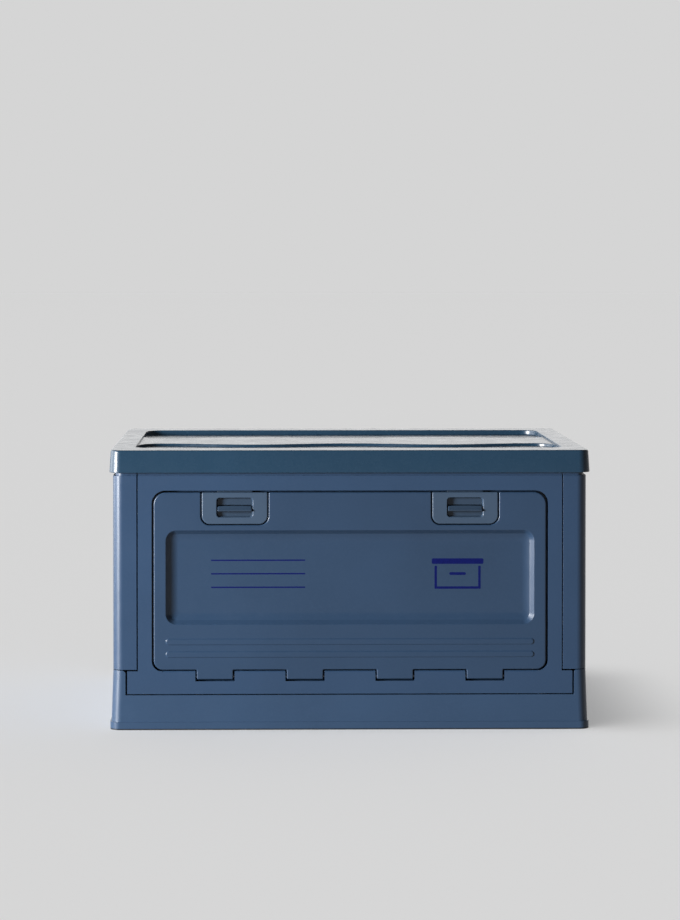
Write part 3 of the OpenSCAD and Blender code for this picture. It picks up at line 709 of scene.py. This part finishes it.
def add_raised_middle(lid):
    """The raised middle of the lid's floor; its ends run into the sides of the recess."""
    half = RECESS_HALF_W + 0.6 * MM
    places = [-half + 2 * half * i / WAVE_STEPS for i in range(WAVE_STEPS + 1)]
    loops = []
    for inset, depth in ((1.8 * MM, 0.0), (0.9 * MM, 0.0), (0.3 * MM, 0.2 * MM), (0.0, 0.8 * MM),
                         (-0.2 * MM, TROUGH_DEPTH - PLATEAU_DROP + 0.3 * MM)):
        ring = [(u, inset - scallop(u)) for u in places]
        ring += [(u, scallop(u) - inset) for u in reversed(places)]
        loops.append(lid.loop(ring, PLATEAU_DROP + depth))
    top, foot = lid.join(loops)
    lid.cap(top)
    lid.cap(foot)


# ---- print on the door ----

LINE_LEFT = -150.2 * MM
LINE_RIGHT = -48.4 * MM
LINE_ZS = (182.3 * MM, 167.7 * MM, 153.0 * MM)
LINE_HALF_H = 0.75 * MM
MARK_X = 116.7 * MM
MARK_Z = 167.5 * MM
INK_FILM = 0.04 * MM
MARK_HALF_H = 16.5 * MM
MARK_HALF_W = 25 * MM
MARK_LID_HALF = 28 * MM
MARK_LID_H = 6 * MM
MARK_STROKE = 2.6 * MM
MARK_GRIP_HALF = 9 * MM


def ink_slab(ink, corners):
    ink.slab(corners, FIELD_DEPTH - INK_FILM, FIELD_DEPTH + 2 * INK_FILM, INK_FILM / 4)


def build_print():
    """Three writing lines, and a plain pictogram of a lidded crate."""
    ink = Moulding(upright)
    for z in LINE_ZS:
        ink_slab(ink, rounded_box(LINE_LEFT, LINE_RIGHT, z - LINE_HALF_H, z + LINE_HALF_H,
                                  SMALL_EDGE))
    top, low = MARK_Z + MARK_HALF_H, MARK_Z - MARK_HALF_H
    ink_slab(ink, rounded_box(MARK_X - MARK_LID_HALF, MARK_X + MARK_LID_HALF, top - MARK_LID_H,
                              top, 1.5 * MM))
    for side in (-1, 1):
        edge = MARK_X + side * (MARK_HALF_W - MARK_STROKE / 2)
        ink_slab(ink, rounded_box(edge - MARK_STROKE / 2, edge + MARK_STROKE / 2, low,
                                  top - MARK_LID_H - 2 * MM, 0.6 * MM))
    inner = MARK_HALF_W - MARK_STROKE - TINY
    ink_slab(ink, rounded_box(MARK_X - inner, MARK_X + inner, low, low + MARK_STROKE, 0.5 * MM))
    ink_slab(ink, rounded_box(MARK_X - MARK_GRIP_HALF, MARK_X + MARK_GRIP_HALF,
                              MARK_Z - 1.5 * MM, MARK_Z + 1.5 * MM, 1.4 * MM))
    ink.finish("door_print", "door", "door_plastic", material=pad_ink("pad_ink"))


# ---- CAD nodes ----

MESHED_NODES = ("door_panel", "lid", "left_latch_housing", "right_latch_housing",
                "left_latch_slider", "right_latch_slider")
EDGE_OF_NODE = {"front_wall_frame": 1.2 * MM}
USUAL_EDGE = 0.6 * MM
EDGE_SEGMENTS = 2


def soften(obj, width):
    """Gives a moulded node the small radius that its real edges have."""
    weld = obj.modifiers.new("weld", "WELD")
    weld.merge_threshold = 0.00001
    flat = obj.modifiers.new("flat", "DECIMATE")
    flat.decimate_type = "DISSOLVE"
    flat.angle_limit = math.radians(0.5)
    bevel = obj.modifiers.new("edges", "BEVEL")
    bevel.width = width
    bevel.segments = EDGE_SEGMENTS
    bevel.limit_method = "ANGLE"
    bevel.angle_limit = math.radians(38)
    bevel.use_clamp_overlap = True
    bevel.harden_normals = True
    normals = obj.modifiers.new("normals", "WEIGHTED_NORMAL")
    normals.keep_sharp = False


def dress_frame():
    for node, obj in frame["nodes"].items():
        obj.data.materials.clear()
        obj.data.materials.append(MATERIALS[SLOT_OF_NODE[node]])
        if node not in STEEL_NODES and node not in MESHED_NODES:
            soften(obj, EDGE_OF_NODE.get(node, USUAL_EDGE))


dress_frame()
build_door()
build_latches()
build_lid()
build_print()


# ---- studio ----

FLOOR_HALF = 40.0
CRATE_AIM = Vector((0.0, -0.18, 0.15))
CRATE_KEY_AWAY = 3.2
CRATE_KEY_AZIMUTH_DEG = 60.0


def build_floor():
    size = FLOOR_HALF
    mesh = bpy.data.meshes.new("studio_floor")
    mesh.from_pydata([(-size, -size, 0), (size, -size, 0), (size, size, 0), (-size, size, 0)], [],
                     [(0, 1, 2, 3)])
    mesh.materials.append(floor_paint("studio_paper"))
    obj = bpy.data.objects.new("studio_floor", mesh)
    bpy.context.scene.collection.objects.link(obj)
    obj.visible_diffuse = False


def build_world():
    """A pale sweep behind the object and a dim room behind the camera.

    The camera itself sees the pale sweep in every direction."""
    world = bpy.data.worlds.new("studio")
    world.use_nodes = True
    tree = world.node_tree
    direction = tree.nodes.new("ShaderNodeTexCoord").outputs["Generated"]
    split = tree.nodes.new("ShaderNodeSeparateXYZ")
    tree.links.new(direction, split.inputs["Vector"])
    depth = remap(tree, split.outputs["Y"], ROOM_DIM, SWEEP_GLOW, -0.25, 0.20)
    height = remap(tree, split.outputs["Z"], 0.0, ROOM_TOP, 0.15, 0.85)
    below = remap(tree, split.outputs["Z"], ROOM_LOW, 0.0, -0.60, 0.0)
    room = math_node(tree, "ADD", depth, math_node(tree, "ADD", height, below))
    is_camera = tree.nodes.new("ShaderNodeLightPath").outputs["Is Camera Ray"]
    visible = tree.nodes.new("ShaderNodeMix")
    tree.links.new(is_camera, visible.inputs["Factor"])
    tree.links.new(room, visible.inputs["A"])
    visible.inputs["B"].default_value = 1.0
    background = tree.nodes["Background"]
    background.inputs["Color"].default_value = (*SWEEP_GREY, 1.0)
    tree.links.new(visible.outputs["Result"], background.inputs["Strength"])
    bpy.context.scene.world = world


def from_left(azimuth_deg, elevation_deg):
    """Direction toward a light; azimuth 0 is behind the camera and 90 is on the left."""
    azimuth, elevation = math.radians(azimuth_deg), math.radians(elevation_deg)
    return Vector((-math.sin(azimuth) * math.cos(elevation),
                   -math.cos(azimuth) * math.cos(elevation), math.sin(elevation)))


def sun_light(name, azimuth_deg, elevation_deg, spread_deg, strength):
    data = bpy.data.lights.new(name, "SUN")
    data.energy = strength
    data.angle = math.radians(spread_deg)
    obj = bpy.data.objects.new(name, data)
    obj.rotation_euler = from_left(azimuth_deg, elevation_deg).to_track_quat("Z", "Y").to_euler()
    bpy.context.scene.collection.objects.link(obj)
    return obj


def softbox(name, place, aim, size, watts, receivers):
    """A panel that lights only its receivers, so that the paper under them stays even."""
    data = bpy.data.lights.new(name, "AREA")
    data.shape = "RECTANGLE"
    data.size, data.size_y = size
    data.energy = watts
    obj = bpy.data.objects.new(name, data)
    obj.location = place
    obj.rotation_euler = (Vector(aim) - Vector(place)).to_track_quat("-Z", "Y").to_euler()
    obj.visible_camera = False
    obj.light_linking.receiver_collection = receivers
    bpy.context.scene.collection.objects.link(obj)
    return obj


def build_lights():
    crate = bpy.data.collections.new("crate_only")
    for obj in bpy.context.scene.objects:
        if obj.type == "MESH" and obj.name != "studio_floor":
            crate.objects.link(obj)
    paper = bpy.data.collections.new("paper_only")
    paper.objects.link(bpy.data.objects["studio_floor"])
    overhead = sun_light("overhead", 70.0, 76.0, 24.0, KEY_STRENGTH)
    overhead.light_linking.receiver_collection = paper
    fill = sun_light("paper_fill", 0.0, 80.0, 5.0, PAPER_FILL)
    fill.light_linking.receiver_collection = paper
    fill.light_linking.blocker_collection = paper
    toward_key = from_left(CRATE_KEY_AZIMUTH_DEG, CRATE_KEY_RISE_DEG)
    softbox("crate_key", CRATE_AIM + toward_key * CRATE_KEY_AWAY, CRATE_AIM, (0.9, 0.9),
            CRATE_KEY_WATTS, crate)
    panel = softbox("left_panel", (-2.0, 0.0, 0.6), CRATE_AIM, (2.6, 1.8), LEFT_PANEL_WATTS,
                    crate)
    panel.visible_diffuse = False
    sweep = softbox("bright_sweep", (0.0, 3.0, 1.1), (0.0, 0.0, 0.3), (6.0, 1.8), SWEEP_WATTS,
                    crate)
    sweep.visible_diffuse = False


def build_camera():
    data = bpy.data.cameras.new("camera")
    data.sensor_width = SENSOR_MM
    data.lens = CAMERA_LENS_MM
    data.clip_end = 100.0
    focal = CAMERA_LENS_MM / SENSOR_MM
    data.shift_x = PRINCIPAL_X - focal * math.tan(math.radians(CAMERA_YAW_DEG))
    data.shift_y = PRINCIPAL_Y + focal * math.tan(math.radians(CAMERA_PITCH_DEG))
    obj = bpy.data.objects.new("camera", data)
    obj.location = CAMERA_PLACE
    obj.rotation_euler = (math.radians(90 - CAMERA_PITCH_DEG), 0,
                          math.radians(-CAMERA_YAW_DEG))
    bpy.context.scene.collection.objects.link(obj)
    bpy.context.scene.camera = obj


build_floor()
build_world()
build_lights()
build_camera()
bpy.context.scene.view_settings.view_transform = "Standard"
